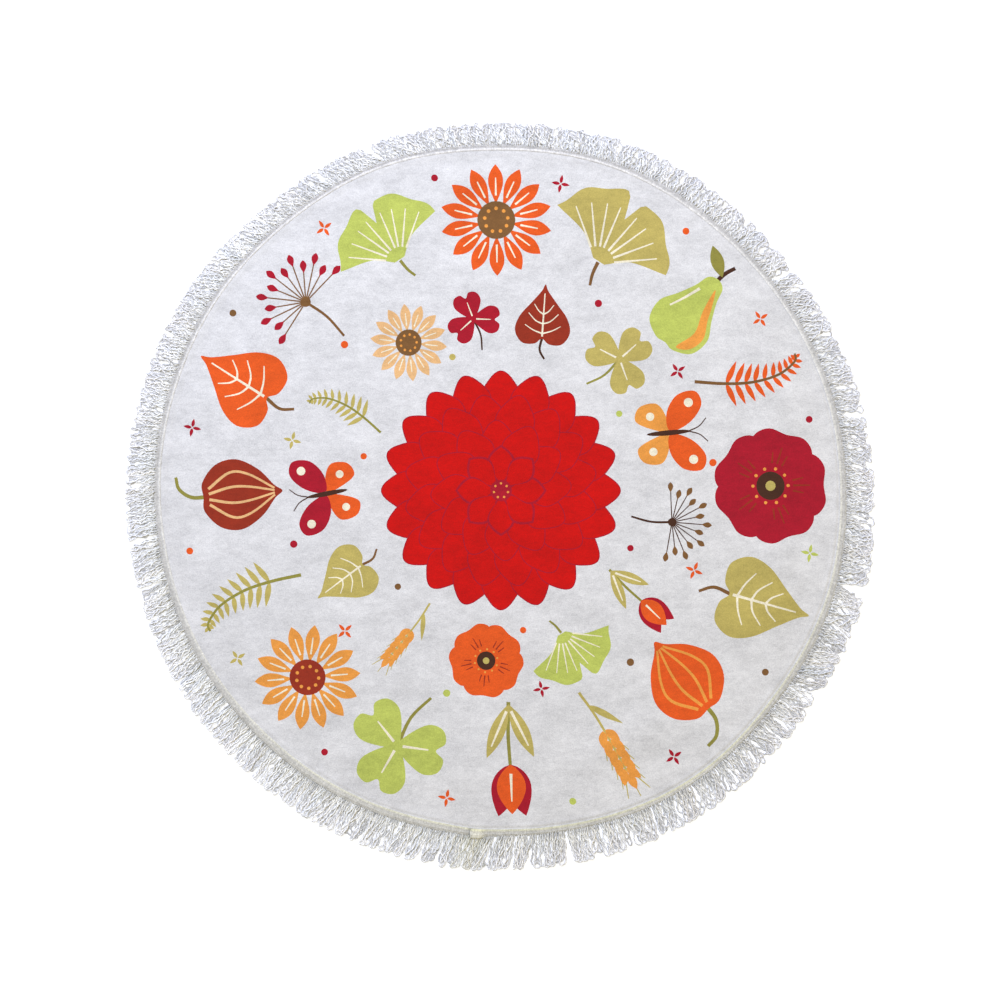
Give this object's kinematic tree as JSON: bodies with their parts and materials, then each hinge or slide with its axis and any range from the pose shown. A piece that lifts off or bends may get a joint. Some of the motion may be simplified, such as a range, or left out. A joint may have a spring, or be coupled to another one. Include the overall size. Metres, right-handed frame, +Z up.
{
  "type": "round beach towel",
  "caption": "Round velour beach towel lying flat, with a printed wreath of leaves and flowers round a plain disc, a narrow hem, and a loop fringe on a heading tape.",
  "frame": {"origin": "the middle of the cloth, on its underside, at floor level", "axes": "+Z up out of the printed face; +Y towards the edge opposite the fringe's joint; +X to the right as seen from above"},
  "size_m": [1.5025, 1.4928, 0.0047],
  "materials": {
    "printed_velour": "soft short-pile velour, printed on its face",
    "fringe_yarn": "crinkled two-ply cotton yarn, looped and uncut"
  },
  "bodies": {
    "root": {"towel": "printed_velour", "fringe": "fringe_yarn"}
  },
  "joints": []
}
